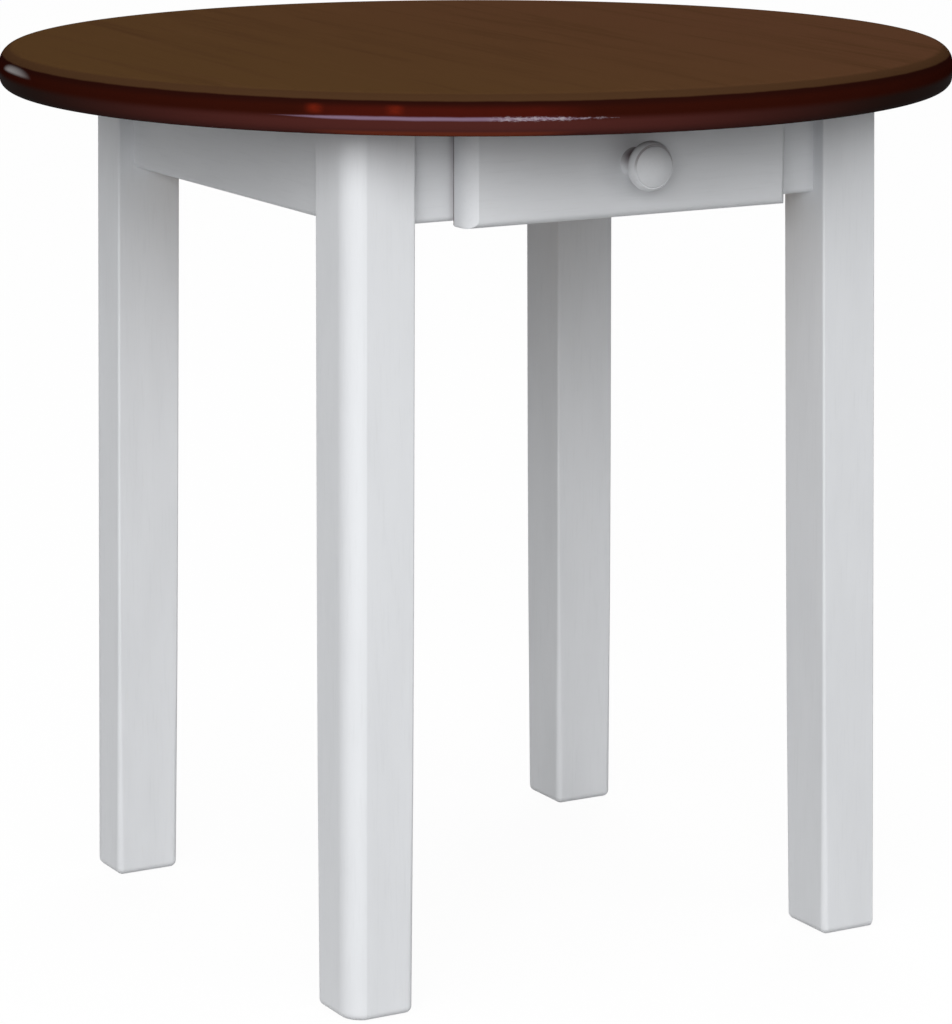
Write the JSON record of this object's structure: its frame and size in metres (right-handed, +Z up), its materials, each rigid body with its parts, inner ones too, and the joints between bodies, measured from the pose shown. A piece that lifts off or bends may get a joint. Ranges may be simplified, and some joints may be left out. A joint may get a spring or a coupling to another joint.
{
  "type": "round table",
  "caption": "Round wooden dining table with a rounded rim, square slightly splayed legs, set-back aprons and a bevelled overlay drawer with a turned knob that slides out to the front.",
  "frame": {"origin": "on the floor, under the middle of the top", "axes": "+Z up, the drawer faces -Y, +X to the right of someone facing the drawer"},
  "size_m": [0.7999, 0.8, 0.75],
  "materials": {
    "mahogany_lacquer": "mahogany stain under glossy lacquer, grain showing",
    "white_paint": "brushed white paint, satin, grain showing faintly",
    "bare_pine": "planed and unfinished",
    "beech": "fluted dowel, unfinished",
    "hardboard": "smooth pressed board",
    "zinc_steel": "bright zinc plate"
  },
  "bodies": {
    "table_frame": {"apron_back": "white_paint", "apron_front": "white_paint", "apron_left": "white_paint", "apron_right": "white_paint", "bolt_nuts": "zinc_steel", "bolt_washers": "zinc_steel", "brace_screws": "zinc_steel", "cleat_back": "bare_pine", "cleat_left": "bare_pine", "cleat_right": "bare_pine", "cleat_side_screws": "zinc_steel", "cleat_top_screws": "zinc_steel", "corner_brace_back_left": "bare_pine", "corner_brace_back_right": "bare_pine", "corner_brace_front_left": "bare_pine", "corner_brace_front_right": "bare_pine", "drawer_guide_left": "bare_pine", "drawer_guide_right": "bare_pine", "drawer_kicker_left": "bare_pine", "drawer_kicker_right": "bare_pine", "drawer_runner_left": "bare_pine", "drawer_runner_right": "bare_pine", "drawer_stop": "bare_pine", "guide_screws": "zinc_steel", "hanger_bolts": "zinc_steel", "kicker_screws": "zinc_steel", "leg_back_left": "white_paint", "leg_back_right": "white_paint", "leg_front_left": "white_paint", "leg_front_right": "white_paint", "runner_dowels": "beech", "table_top": "mahogany_lacquer"},
    "drawer": {"drawer_front": "white_paint", "drawer_side_left": "bare_pine", "drawer_side_right": "bare_pine", "drawer_back": "bare_pine", "drawer_bottom": "hardboard", "front_dowels": "beech", "back_screws": "zinc_steel", "bottom_pins": "zinc_steel", "drawer_knob": "white_paint", "knob_screw": "zinc_steel"}
  },
  "joints": [
    {"name": "drawer_slide", "type": "slide", "parent": "table_frame", "child": "drawer", "axis": [0, -1, 0], "range_m": [0, 0.28]}
  ]
}
